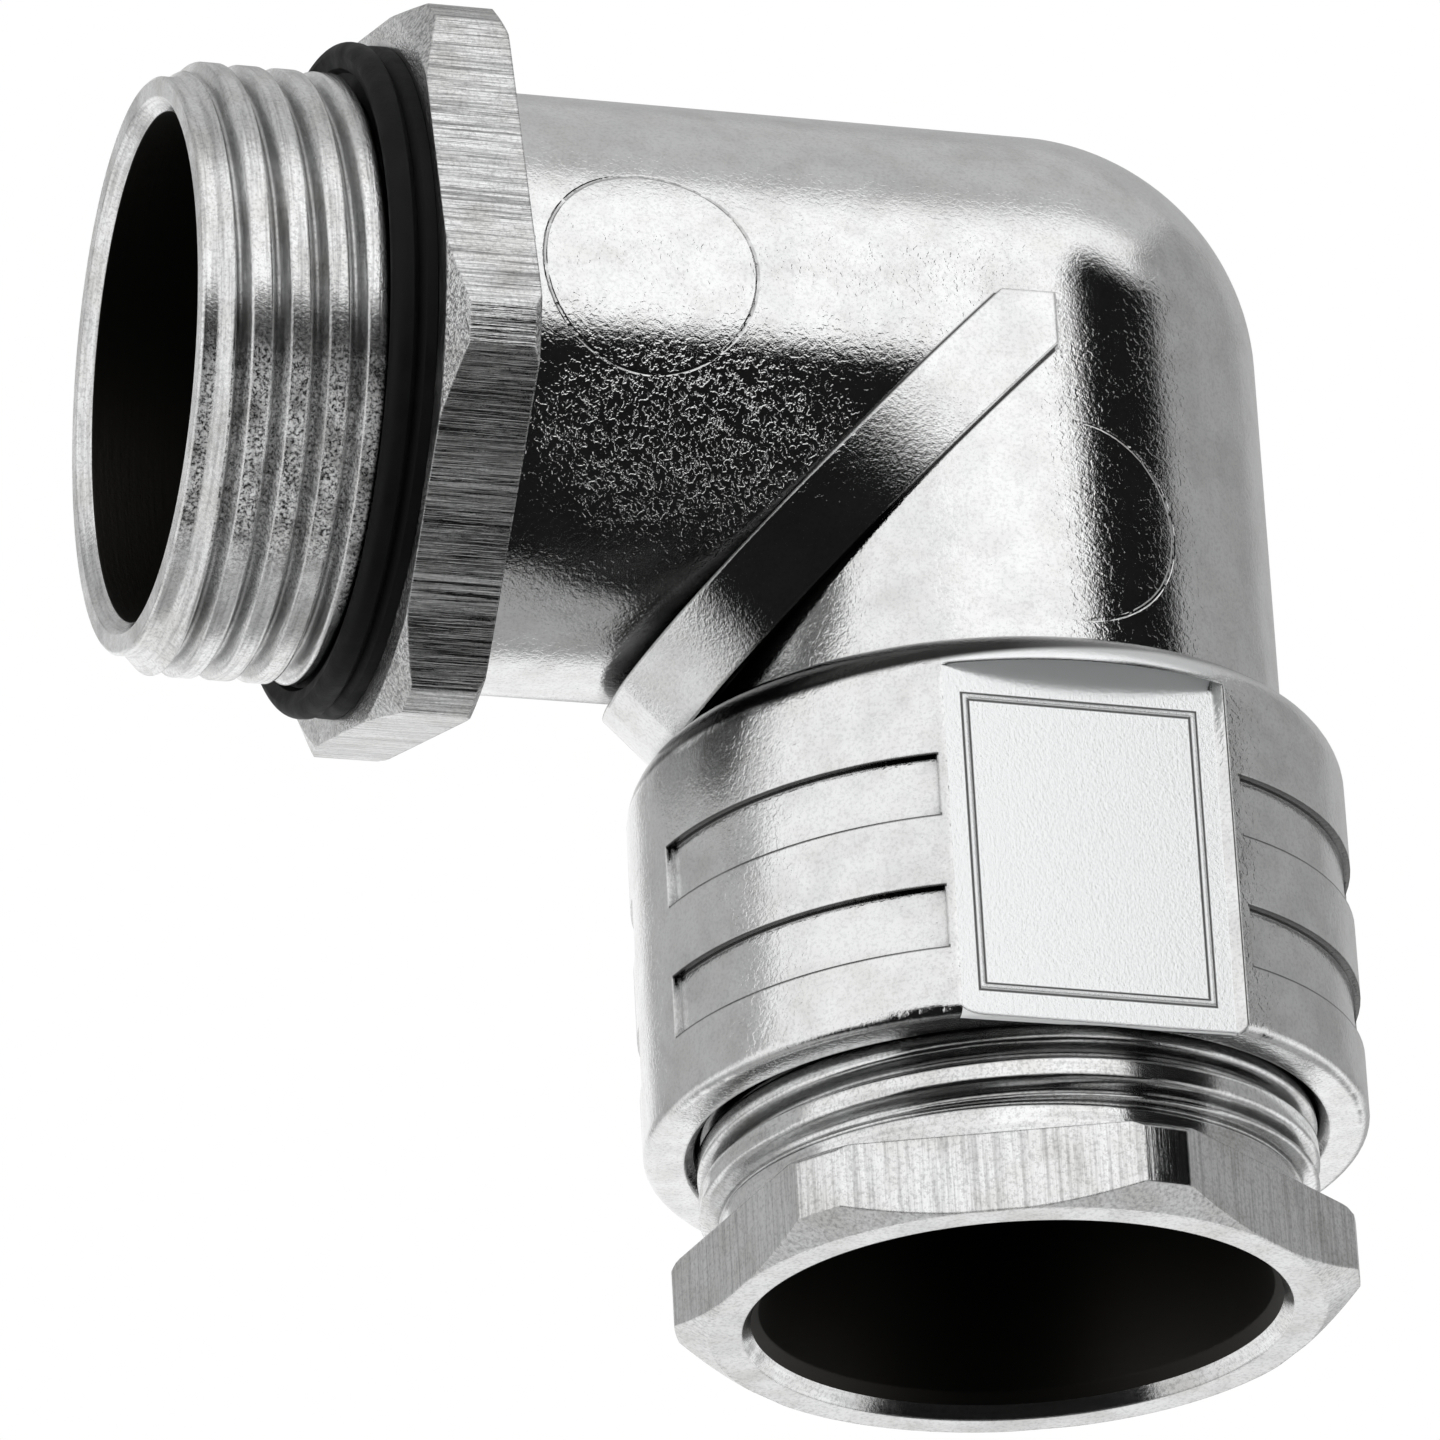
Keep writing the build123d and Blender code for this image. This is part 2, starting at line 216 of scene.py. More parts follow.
def over(tree, value, limit):
    return compute(tree, "GREATER_THAN", value, limit)


def away(tree, value, centre):
    """How far a value is from centre, on either side."""
    return compute(tree, "ABSOLUTE", compute(tree, "SUBTRACT", value, centre))


def ramp(tree, value, from_min, from_max, to_min, to_max, kind="LINEAR"):
    made = tree.nodes.new("ShaderNodeMapRange")
    made.interpolation_type = kind
    names = ("Value", "From Min", "From Max", "To Min", "To Max")
    for name, number in zip(names, (value, from_min, from_max, to_min, to_max)):
        put(tree, made.inputs[name], number)
    return made.outputs["Result"]


def mixed(tree, factor, first, second, blend="MIX"):
    made = tree.nodes.new("ShaderNodeMix")
    made.data_type = "RGBA"
    made.blend_type = blend
    for name, value in (("Factor", factor), ("A", first), ("B", second)):
        put(tree, [s for s in made.inputs if s.name == name and s.enabled][0], value)
    return [s for s in made.outputs if s.enabled][0]


def noise(tree, place, size, detail, roughness=0.5, stretch=(1.0, 1.0, 1.0)):
    """Noise whose blotches are about size metres across, with values near 0.3 to 0.7."""
    scale = tuple(s / size for s in stretch)
    spread = node(tree, "ShaderNodeMapping", Vector=place, Scale=scale)
    made = node(
        tree, "ShaderNodeTexNoise",
        Vector=spread.outputs[0], Scale=1.0, Detail=detail, Roughness=roughness,
    )
    return made.outputs["Fac"]


def axis_distance(tree, place, skip, offset):
    """Distance from the axis that runs along coordinate number skip through offset."""
    flat = node(tree, "ShaderNodeVectorMath")
    flat.operation = "MULTIPLY_ADD"
    tree.links.new(place, flat.inputs[0])
    flat.inputs[1].default_value = [0.0 if i == skip else 1.0 for i in range(3)]
    flat.inputs[2].default_value = [-o if i != skip else 0.0 for i, o in enumerate(offset)]
    far = node(tree, "ShaderNodeVectorMath")
    far.operation = "LENGTH"
    tree.links.new(flat.outputs[0], far.inputs[0])
    return far.outputs["Value"]


def parts_of(tree, output):
    """X, Y and Z of one of the texture coordinates, Object or Normal."""
    vector = node(tree, "ShaderNodeTexCoord").outputs[output]
    return node(tree, "ShaderNodeSeparateXYZ", Vector=vector).outputs


def plated(
    name, stain, speckle, marks, marks_depth, gloss, skin_depth, crevice, edge_round, bar=None
):
    """Nickel plate. stain and speckle are (size, strength), marks is the tool marks' stretch.
    bar places the drawn lines on the flats of the hexagon bar, outside its turned parts."""
    material = bpy.data.materials.new(name)
    material.use_nodes = True
    tree = material.node_tree
    shader = tree.nodes["Principled BSDF"]
    shader.inputs["Metallic"].default_value = 1.0
    place = node(tree, "ShaderNodeTexCoord").outputs["Object"]
    blotch = noise(tree, place, stain[0], 5.0, 0.6)
    grain = noise(tree, place, speckle[0], 3.0, 0.7)
    lines = noise(tree, place, 1.0, 3.0, 0.6, marks)
    depth = marks_depth
    if bar:
        along = node(tree, "ShaderNodeSeparateXYZ", Vector=place).outputs[bar["axis"]]
        on_flat = product(
            tree,
            over(tree, axis_distance(tree, place, bar["axis"], bar["through"]), bar["radius"]),
            over(tree, compute(tree, "ABSOLUTE", along), bar["start"]),
        )
        drawn = noise(tree, place, 1.0, 3.0, 0.65, bar["stretch"])
        lines = node(tree, "ShaderNodeMix", Factor=on_flat, A=lines, B=drawn).outputs["Result"]
        depth = compute(tree, "MULTIPLY_ADD", on_flat, bar["depth"], marks_depth)
    tint = mixed(tree, ramp(tree, blotch, 0.34, 0.56, stain[1], 0.0), plate_tint, stain_tint)
    dots = ramp(tree, grain, 0.38, 0.52, 1.0 - speckle[1], 1.0)
    scores = ramp(tree, lines, 0.36, 0.55, compute(tree, "SUBTRACT", 1.0, depth), 1.0)
    # Painted shade: the plate's colour darkens in creases and corners found by ambient
    # occlusion, as far as crevice reaches.
    corners = node(tree, "ShaderNodeAmbientOcclusion", Distance=crevice)
    corners.samples = 4
    crease_shade = ramp(tree, corners.outputs["AO"], 0.35, 0.68, 0.15, 1.0)
    tint = mixed(tree, 1.0, tint, product(tree, dots, scores, crease_shade), "MULTIPLY")
    tree.links.new(tint, shader.inputs["Base Color"])
    rough = ramp(tree, blotch, 0.35, 0.6, gloss * 1.5, gloss * 0.8)
    tree.links.new(rough, shader.inputs["Roughness"])
    edge = node(tree, "ShaderNodeBevel", Radius=edge_round)
    edge.samples = 4
    skin = node(
        tree, "ShaderNodeBump", Height=grain, Distance=skin_depth, Normal=edge.outputs[0]
    )
    cut_depth = product(tree, compute(tree, "POWER", depth, 3.0), 0.0003)
    cut = node(tree, "ShaderNodeBump", Height=lines, Distance=cut_depth, Normal=skin.outputs[0])
    tree.links.new(cut.outputs[0], shader.inputs["Normal"])
    return material


def shade_inside(material, mask):
    """Painted shade: bores are coloured much darker than the plate outside, for the shade that
    falls inside them.
    """
    tree = material.node_tree
    shader = tree.nodes["Principled BSDF"]
    before = shader.inputs["Base Color"].links[0].from_socket
    tree.links.new(mixed(tree, mask, before, painted_bore_shade), shader.inputs["Base Color"])
    before = shader.inputs["Roughness"].links[0].from_socket
    rough = node(tree, "ShaderNodeMix", Factor=mask, A=before, B=0.5)
    tree.links.new(rough.outputs["Result"], shader.inputs["Roughness"])


turned_nickel = plated(
    "turned_nickel",
    stain=(0.0022, 0.35), speckle=(0.00014, 0.25), marks=(7000.0, 300.0, 300.0),
    marks_depth=0.3, gloss=0.17, skin_depth=0.00001, crevice=0.0005, edge_round=0.00011,
    bar={
        "axis": 0, "through": (0, 0, 0), "radius": 0.0126, "start": 0.0, "depth": 0.3,
        "stretch": (170.0, 8000.0, 8000.0),
    },
)
tree = turned_nickel.node_tree
place = node(tree, "ShaderNodeTexCoord").outputs["Object"]
shade_inside(turned_nickel, under(tree, axis_distance(tree, place, 0, (0, 0, 0)), 0.00936))

# The plate on the thread's underside is dull and mottled from handling, and the hexagon's
# lower flats are streaked.
spot = parts_of(tree, "Object")
mottled = product(
    tree,
    ramp(tree, noise(tree, place, 0.00013, 4.0, 0.75), 0.4, 0.56, 0.0, 0.95),
    ramp(tree, noise(tree, place, 0.0011, 2.0), 0.3, 0.5, 0.45, 1.0),
    ramp(tree, spot["Z"], -0.0062, -0.0028, 1.0, 0.1, "SMOOTHSTEP"),
    ramp(tree, spot["Y"], -0.006, -0.002, 1.0, 0.0),
    under(tree, spot["X"], 0.0017),
)
fine_streaks = noise(tree, place, 1.0, 3.0, 0.75, (200.0, 6500.0, 6500.0))
broad_streaks = noise(tree, place, 1.0, 1.0, 0.5, (30.0, 30.0, 380.0))
streaked = product(
    tree,
    over(tree, spot["X"], 0.0018),
    ramp(tree, spot["Z"], -0.0052, -0.0044, 0.42, 0.0),
    ramp(tree, fine_streaks, 0.42, 0.58, 0.0, 1.0),
    ramp(tree, broad_streaks, 0.38, 0.6, 0.15, 1.0),
)
metallic = compute(tree, "SUBTRACT", 1.0, largest(tree, mottled, streaked))
tree.links.new(metallic, tree.nodes["Principled BSDF"].inputs["Metallic"])

# A thread's turns: a flat sheet is rolled into a sleeve whose outer wall follows the helix,
# leads in at the tip and runs out at the end. Its last rows close the sleeve inside.
root_until, crest_from = 0.04, 0.56  # as shares of half a turn
run_out_drop, run_out_slope = 0.0001, 3.0
thread_tree = bpy.data.node_groups.new("cut_thread", "GeometryNodeTree")
lengths = ("Start", "Length", "Pitch", "Phase", "Crest", "Root", "Inner radius", "Tip radius")
for label, kind, way in (
    *((label, "Float", "INPUT") for label in (*lengths, "Lead slope")),
    ("Rows", "Int", "INPUT"),
    ("Sides", "Int", "INPUT"),
    ("Material", "Material", "INPUT"),
    ("Geometry", "Geometry", "OUTPUT"),
):
    thread_tree.interface.new_socket(label, in_out=way, socket_type="NodeSocket" + kind)
tree = thread_tree
given = tree.nodes.new("NodeGroupInput").outputs
sheet = tree.nodes.new("GeometryNodeMeshGrid")
tree.links.new(compute(tree, "ADD", given["Sides"], 1.0), sheet.inputs["Vertices X"])
tree.links.new(compute(tree, "ADD", given["Rows"], 4.0), sheet.inputs["Vertices Y"])
position = tree.nodes.new("GeometryNodeInputPosition").outputs[0]
spot = node(tree, "ShaderNodeSeparateXYZ", Vector=position).outputs
around = compute(tree, "ADD", spot["X"], 0.5)
row = product(
    tree, compute(tree, "ADD", spot["Y"], 0.5), compute(tree, "ADD", given["Rows"], 3.0)
)
row = compute(tree, "ROUND", row)
share = compute(tree, "DIVIDE", compute(tree, "SUBTRACT", row, 1.0), given["Rows"])
share = compute(tree, "MINIMUM", largest(tree, share, 0.0), 1.0)
closing = over(tree, row, compute(tree, "ADD", given["Rows"], 2.5))
share = product(tree, share, compute(tree, "SUBTRACT", 1.0, closing))
depth = product(tree, share, given["Length"])
along = compute(tree, "ADD", depth, given["Start"])
turn = compute(tree, "SUBTRACT", compute(tree, "DIVIDE", along, given["Pitch"]), around)
turn = compute(tree, "FRACT", compute(tree, "SUBTRACT", turn, given["Phase"]))
wave = product(tree, away(tree, turn, 0.5), 2.0)
flank = ramp(
    tree, wave, root_until, crest_from, given["Root"], given["Crest"], "SMOOTHSTEP"
)
lead = product(tree, depth, given["Lead slope"])
lead = compute(tree, "ADD", given["Tip radius"], lead)
remaining = compute(tree, "SUBTRACT", given["Length"], depth)
run_out = compute(tree, "SUBTRACT", given["Root"], run_out_drop)
run_out = compute(tree, "ADD", run_out, product(tree, remaining, run_out_slope))
outer = compute(tree, "MINIMUM", compute(tree, "MINIMUM", flank, lead), run_out)
inner = over(tree, row, compute(tree, "ADD", given["Rows"], 1.5))
inner = compute(tree, "ADD", under(tree, row, 0.5), inner)
outer = product(tree, compute(tree, "SUBTRACT", 1.0, inner), outer)
radius = compute(tree, "ADD", product(tree, inner, given["Inner radius"]), outer)
angle = product(tree, around, 2 * math.pi)
helix = node(
    tree, "ShaderNodeCombineXYZ",
    X=product(tree, radius, compute(tree, "COSINE", angle)),
    Y=product(tree, radius, compute(tree, "SINE", angle)),
    Z=along,
)
bent = node(
    tree, "GeometryNodeSetPosition", Geometry=sheet.outputs["Mesh"], Position=helix.outputs[0]
)
joined = node(tree, "GeometryNodeMergeByDistance", Geometry=bent.outputs[0], Distance=1e-6)
real = node(tree, "GeometryNodeRealizeInstances", Geometry=joined.outputs[0])
painted = node(
    tree, "GeometryNodeSetMaterial", Geometry=real.outputs[0], Material=given["Material"]
)
tree.links.new(painted.outputs[0], tree.nodes.new("NodeGroupOutput").inputs["Geometry"])


def cut_thread(sizes, material, placing):
    """A threaded sleeve as a plain mesh, made along +Z and then moved by placing."""
    blank = bpy.data.objects.new("thread_blank", bpy.data.meshes.new("thread_blank"))
    bpy.context.scene.collection.objects.link(blank)
    cutter = blank.modifiers.new("thread", "NODES")
    cutter.node_group = thread_tree
    sizes = {**sizes, "Material": material}
    for item in thread_tree.interface.items_tree:
        if item.item_type == "SOCKET" and item.in_out == "INPUT":
            cutter[item.identifier] = sizes[item.name]
    bpy.context.view_layer.update()
    made = blank.evaluated_get(bpy.context.evaluated_depsgraph_get())
    mesh = bpy.data.meshes.new_from_object(made)
    blank.modifiers.remove(cutter)
    bpy.data.objects.remove(blank)
    mesh.transform(placing)
    mesh.shade_smooth()
    return mesh


def hexagon_outline(half_flats, corner, turn):
    """Angles round a hexagon with turned-off corners, and its reach at each of them."""
    flat = math.degrees(math.acos(half_flats / corner))
    steps = [flat * (i / 16 - 1) for i in range(33)]
    steps += [flat + (60 - 2 * flat) * i / 7 for i in range(1, 7)]
    angles, reaches = [], []
    for side in range(6):
        for step in steps:
            angles.append(math.radians(turn + 60 * side + step))
            on_side = half_flats / math.cos(math.radians(step)) if step <= flat else corner
            reaches.append(min(on_side, corner))
    return angles, reaches


def ring_faces(rings, count):
    """Quads between closed rings of count vertices each, the last ring joined to the first."""
    faces = []
    for ring in range(rings):
        here, there = ring * count, (ring + 1) % rings * count
        for k in range(count):
            after = (k + 1) % count
            faces.append((here + k, here + after, there + after, there + k))
    return faces


def closed_mesh(name, verts, faces):
    """A mesh without doubles whose faces point outwards."""
    mesh = bpy.data.meshes.new(name)
    mesh.from_pydata(verts, [], faces)
    solid = bmesh.new()
    solid.from_mesh(mesh)
    bmesh.ops.remove_doubles(solid, verts=solid.verts, dist=1e-7)
    bmesh.ops.recalc_face_normals(solid, faces=solid.faces)
    solid.to_mesh(mesh)
    solid.free()
    return mesh


def turned_piece(name, rings, angles, placing):
    """A closed shell through rings of (along, radius), in millimetres. A ring may list one
    such pair for each angle."""
    verts = []
    for ring in rings:
        pairs = ring if isinstance(ring, list) else [ring] * len(angles)
        for a, (along, reach) in zip(angles, pairs):
            verts.append((reach * mm * math.cos(a), reach * mm * math.sin(a), along * mm))
    mesh = closed_mesh(name, verts, ring_faces(len(rings), len(angles)))
    mesh.transform(placing)
    mesh.shade_smooth()
    mesh.set_sharp_from_angle(angle=math.radians(20))
    return mesh


def join(name, body, material, slot, replaced, *meshes):
    whole = bmesh.new()
    for mesh in meshes:
        whole.from_mesh(mesh)
    mesh = bpy.data.meshes.new(name)
    whole.to_mesh(mesh)
    whole.free()
    mesh.materials.append(material)
    obj = bpy.data.objects.new(name, mesh)
    bpy.context.scene.collection.objects.link(obj)
    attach(obj, body)
    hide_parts(replaced)
    return obj


# The thread is 22.5 mm over its crests with 18 turns to the inch, right-hand.
pitch = 25.4 / 18
along_x = Matrix(((0, 0, 1, 0), (1, 0, 0, 0), (0, 1, 0, 0), (0, 0, 0, 1)))
thread_sizes = {
    "Pitch": pitch * mm, "Crest": 0.01125, "Root": 0.01063, "Inner radius": 0.0102,
    "Sides": 256,
}
nipple_thread = cut_thread(
    {
        **thread_sizes, "Start": -0.00575, "Length": 0.0063, "Phase": 0.44, "Rows": 108,
        "Tip radius": 0.0106, "Lead slope": 0.93,
    },
    turned_nickel, along_x,
)
front, back, corner = 1.85, 5.15, 14.6
front_cut, back_cut = corner - 1.1, corner - 0.25
face_slope = math.tan(math.radians(30))
angles, reaches = hexagon_outline(13.0, corner, turn=47.0)
nipple_body = turned_piece(
    "nipple_body",
    [
        # mouth, core of the thread and relief
        (-5.85, 9.35), (-6.35, 9.85), (-6.35, 10.5), (-6.25, 10.6), (-5.6, 10.6),
        (-5.5, 10.5), (front, 10.5),
        # hexagon
        [(front, min(r, front_cut)) for r in reaches],
        [(front + max(0.0, r - front_cut) * face_slope, r) for r in reaches],
        [(back - max(0.0, r - back_cut), r) for r in reaches],
        [(back, min(r, back_cut)) for r in reaches],
        # spigot with the grooves for the O-ring and the wire ring, and the bore
        (back, 9.55), (7.1, 9.55), (7.1, 8.5), (8.8, 8.5), (8.8, 9.55), (10.85, 9.55),
        (10.85, 8.9), (12.05, 8.9), (12.05, 9.55), (15.15, 9.55), (15.45, 9.25),
        (15.45, 8.1), (15.25, 7.9), (3.1, 7.9), (1.65, 9.35),
    ],
    angles, along_x,
)
join(
    "nipple_turned", "connection", turned_nickel, "turned_nickel", "connection_nipple",
    nipple_body, nipple_thread,
)

# The connection seal, the swivel's O-ring and the gland's insert are moulded black rubber.
# The seal lies round the thread's last turn against the hexagon, with a bead in front.
rubber = plain_material("moulded_rubber", 0.004, 0.6)
tree = rubber.node_tree
shader = tree.nodes["Principled BSDF"]
place = node(tree, "ShaderNodeTexCoord").outputs["Object"]
bloom = noise(tree, place, 0.0012, 4.0, 0.6)
black = mixed(tree, bloom, (0.002, 0.002, 0.002, 1.0), (0.008, 0.008, 0.0085, 1.0))
tree.links.new(black, shader.inputs["Base Color"])
tree.links.new(ramp(tree, bloom, 0.3, 0.7, 0.5, 0.7), shader.inputs["Roughness"])
shader.inputs["Specular IOR Level"].default_value = 0.16
pores = noise(tree, place, 0.00015, 2.0)
pores = node(tree, "ShaderNodeBump", Height=pores, Distance=0.000008)
tree.links.new(pores.outputs[0], shader.inputs["Normal"])


def coat(name, material):
    """Gives one of the CAD nodes its material."""
    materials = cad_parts[name].data.materials
    materials.clear()
    materials.append(material)


def round_angles(count):
    return [math.radians(360 * i / count) for i in range(count)]


coat("swivel_seal", rubber)
bead_round = 0.5
bead = []
for degrees in range(90, -1, -10):
    a = math.radians(degrees)
    bead.append((0.7 - bead_round * math.sin(a), 11.95 + bead_round * math.cos(a)))
seal_mesh = turned_piece(
    "seal_mesh",
    [
        (1.84, 10.62), (0.6, 10.62), (0.6, 11.3), (0.35, 11.45), *bead, (0.95, 12.43),
        (1.08, 12.3), (1.2, 12.12), (1.32, 12.26), (1.45, 12.37), (1.84, 12.38),
    ],
    round_angles(180), along_x,
)
join("seal_moulded", "connection", rubber, "seal_rubber", "connection_seal", seal_mesh)

# The insert is drawn squeezed shorter against the washer above it, as the driven-in screw
# leaves it.
down_z = Matrix(((1, 0, 0, gland_x), (0, -1, 0, 0), (0, 0, -1, 0), (0, 0, 0, 1)))
insert_top = 16.2
insert_mesh = turned_piece(
    "insert_mesh",
    [
        (insert_top, 10.55), (22.7, 10.55), (22.7, 7.7), (21.5, 6.5), (17.4, 6.5),
        (insert_top, 7.7),
    ],
    round_angles(120), down_z,
)
insert = join("insert_moulded", "elbow", rubber, "seal_rubber", "sealing_insert", insert_mesh)
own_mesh(insert)

# The open ring that keeps the spigot in the elbow is drawn spring wire, the two washers
# beside the insert are punched from zinc plated sheet. All three sit out of sight.
for names, material_name, marks in (
    (("retaining_ring",), "spring_wire", (300.0, 4000.0, 4000.0)),
    (("inner_thrust_washer", "outer_thrust_washer"), "washer_steel", (2500.0, 400.0, 2500.0)),
):
    steel = plated(
        material_name,
        stain=(0.0015, 0.7), speckle=(0.0002, 0.3), marks=marks, marks_depth=0.4,
        gloss=0.28, skin_depth=0.000003, crevice=0.0005, edge_round=0.00005,
    )
    for name in names:
        coat(name, steel)

# The elbow is one casting, tumbled and nickel plated over its cast skin. Ejector pins left
# two shallow rings on its front, and the flat pad on the collar was finished smooth.
pad_middle_x, pad_middle_z = gland_x - 0.00022, -0.0222
border_half_width, border_half_height, border_foot = 0.0043, 0.0056, 0.00013
pin_radius, rib_half = 0.00398, 0.00149
pad_tint = (0.84, 0.85, 0.855, 1.0)
# Painted light for the ledge over the pad.
painted_light_ledge_tint = (0.98, 0.99, 0.99, 1.0)
# Dark colour for the pin rings, which are real marks, and for the painted shade and painted
# dark reflection.
mark_and_shade_tint = (0.02, 0.019, 0.018, 1.0)
cast_nickel = plated(
    "cast_nickel",
    stain=(0.0016, 0.2), speckle=(0.00013, 0.14), marks=(450.0, 450.0, 450.0),
    marks_depth=0.1, gloss=0.05, skin_depth=0.000008, crevice=0.001, edge_round=0.00017,
)
tree = cast_nickel.node_tree
shader = tree.nodes["Principled BSDF"]
place = node(tree, "ShaderNodeTexCoord").outputs["Object"]
spot = parts_of(tree, "Object")
leaning = parts_of(tree, "Normal")
from_gland = axis_distance(tree, place, 2, (gland_x, 0, 0))
level_bore = product(
    tree,
    under(tree, axis_distance(tree, place, 0, (0, 0, 0)), 0.00965),
    under(tree, spot["X"], gland_x),
)
passage = product(tree, under(tree, from_gland, 0.0085), under(tree, spot["Z"], 0.0))
chamber = product(tree, under(tree, from_gland, 0.01135), under(tree, spot["Z"], -0.0145))
shade_inside(cast_nickel, largest(tree, level_bore, passage, chamber))

# The pin rings fade in and out, the lower one most on the left.
mottle = noise(tree, place, 0.0009, 3.0, 0.6)
rings = 0.0
for pin_x, pin_z, strength in (
    (gland_x - 0.015, 0.00003, 1.0),
    (gland_x + 0.00045, -0.0088, 0.9),
):
    off_ring = away(tree, axis_distance(tree, place, 1, (pin_x, 0, pin_z)), pin_radius)
    ring = ramp(tree, off_ring, 0.00003, 0.0001, strength, 0.0, "SMOOTHSTEP")
    if pin_x > gland_x:
        fade = ramp(tree, spot["X"], gland_x - 0.0005, gland_x + 0.0025, 0.12, 1.0)
        ring = product(tree, ring, fade)
    rings = largest(tree, rings, ring)
rings = product(
    tree, rings, under(tree, spot["Y"], -0.004), ramp(tree, mottle, 0.35, 0.55, 0.15, 1.0)
)

# Painted shade lies along the rib's foot, along the edges of the grooves and against the wall
# at the right of the pad, and a painted dark reflection lies in a band on the collar's
# shoulder.
from_mitre = compute(tree, "SUBTRACT", compute(tree, "SUBTRACT", spot["X"], gland_x), spot["Z"])
from_mitre = compute(tree, "ABSOLUTE", product(tree, from_mitre, math.sqrt(0.5)))
rib_foot_shade = product(
    tree,
    ramp(tree, away(tree, from_mitre, rib_half), 0.00002, 0.0001, 0.85, 0.0, "SMOOTHSTEP"),
    under(tree, spot["X"], gland_x + 0.0001),
    under(tree, spot["Z"], 0.0001),
    over(tree, spot["Z"], -0.0135),
)
# Painted reflection: the collar's shoulder is darkened where it faces up, for the arm's dark
# underside mirrored in it.
lower = ramp(tree, spot["X"], gland_x - 0.009, gland_x + 0.003, 0.1, 0.55)
upper = compute(tree, "ADD", lower, 0.13)
shoulder_dark_reflection = product(
    tree,
    ramp(tree, leaning["Z"], lower, upper, 0.0, 0.97, "SMOOTHSTEP"),
    ramp(tree, spot["Z"], -0.0175, -0.017, 0.0, 1.0),
    ramp(tree, spot["Z"], -0.0135, -0.0134, 1.0, 0.0),
    over(tree, from_gland, 0.0107),
    ramp(tree, spot["X"], gland_x - 0.003, gland_x + 0.005, 1.0, 0.4),
)
# Painted shade: thin dark lines along the edges of the collar's grooves.
groove_edge_shade = 0.0
for edge_z, strength in ((-0.01889, 0.9), (-0.02122, 0.8), (-0.02396, 0.9), (-0.02629, 0.8)):
    off_edge = away(tree, spot["Z"], edge_z)
    line = ramp(tree, off_edge, 0.00003, 0.00009, strength, 0.0, "SMOOTHSTEP")
    groove_edge_shade = largest(tree, groove_edge_shade, line)
groove_edge_shade = product(
    tree,
    groove_edge_shade,
    over(tree, away(tree, spot["X"], gland_x), 0.0056),
    under(tree, spot["Y"], -0.0023),
    over(tree, from_gland, 0.0125),
)
# Painted shade on the wall at the right of the pad.
pad_wall_shade = product(
    tree,
    0.85,
    under(tree, leaning["X"], -0.35),
    under(tree, away(tree, spot["X"], gland_x + 0.0055), 0.0003),
    under(tree, spot["Y"], -0.0112),
    under(tree, spot["Z"], -0.0147),
)

# The pad is plain satin plate, with a fine line of painted shade along each foot of its border.
# The ledge over it is painted pale and non-metallic, a painted light on its downward face.
pad_x = away(tree, spot["X"], pad_middle_x)
pad_z = away(tree, spot["Z"], pad_middle_z)
on_pad = product(
    tree,
    under(tree, pad_x, 0.0051),
    under(tree, spot["Y"], -0.0116),
    under(tree, spot["Z"], -0.0145),
)
from_border = largest(
    tree,
    compute(tree, "SUBTRACT", pad_x, border_half_width),
    compute(tree, "SUBTRACT", pad_z, border_half_height),
)
# Painted shade: a fine dark line along each foot of the pad's border.
off_foot = away(tree, compute(tree, "ABSOLUTE", from_border), border_foot)
border_foot_shade = product(
    tree, ramp(tree, off_foot, 0.00002, 0.00006, 0.9, 0.0, "SMOOTHSTEP"), on_pad
)
painted_light_ledge = product(tree, on_pad, under(tree, leaning["Z"], -0.2))
tree.links.new(compute(tree, "SUBTRACT", 1.0, painted_light_ledge), shader.inputs["Metallic"])
before = shader.inputs["Base Color"].links[0].from_socket
clean = mixed(tree, on_pad, before, pad_tint)
clean = mixed(tree, painted_light_ledge, clean, painted_light_ledge_tint)
# The pin rings are real marks; the rest is painted shade and a painted dark reflection.
marks_and_painted_shade = largest(
    tree, product(tree, rings, 0.4), border_foot_shade, rib_foot_shade, shoulder_dark_reflection, pad_wall_shade, groove_edge_shade
)
tree.links.new(mixed(tree, marks_and_painted_shade, clean, mark_and_shade_tint), shader.inputs["Base Color"])
before = shader.inputs["Roughness"].links[0].from_socket
satin = node(tree, "ShaderNodeMix", Factor=on_pad, A=before, B=0.2)
tree.links.new(satin.outputs["Result"], shader.inputs["Roughness"])

# The cast skin is pitted most in a patch low on the level arm's front.
from_patch = node(tree, "ShaderNodeVectorMath")
from_patch.operation = "DISTANCE"
scaled = node(tree, "ShaderNodeMapping", Vector=place, Scale=(0.75, 0.9, 1.45))
tree.links.new(scaled.outputs[0], from_patch.inputs[0])
from_patch.inputs[1].default_value = (0.00889, -0.0081, -0.0089)
pits = product(
    tree,
    ramp(tree, noise(tree, place, 0.00024, 2.0, 0.5), 0.47, 0.6, 0.0, 1.0, "SMOOTHSTEP"),
    ramp(tree, from_patch.outputs["Value"], 0.0028, 0.006, 1.0, 0.12, "SMOOTHSTEP"),
    ramp(tree, mottle, 0.35, 0.6, 0.4, 1.0),
    ramp(tree, from_mitre, 0.0015, 0.0017, 0.15, 1.0),
    compute(tree, "SUBTRACT", 1.0, on_pad),
)
height = compute(tree, "SUBTRACT", 1.0, largest(tree, rings, pits))
before = shader.inputs["Normal"].links[0].from_socket
sunk = node(tree, "ShaderNodeBump", Height=height, Distance=0.000034, Normal=before)
tree.links.new(sunk.outputs[0], shader.inputs["Normal"])
coat("elbow_body", cast_nickel)

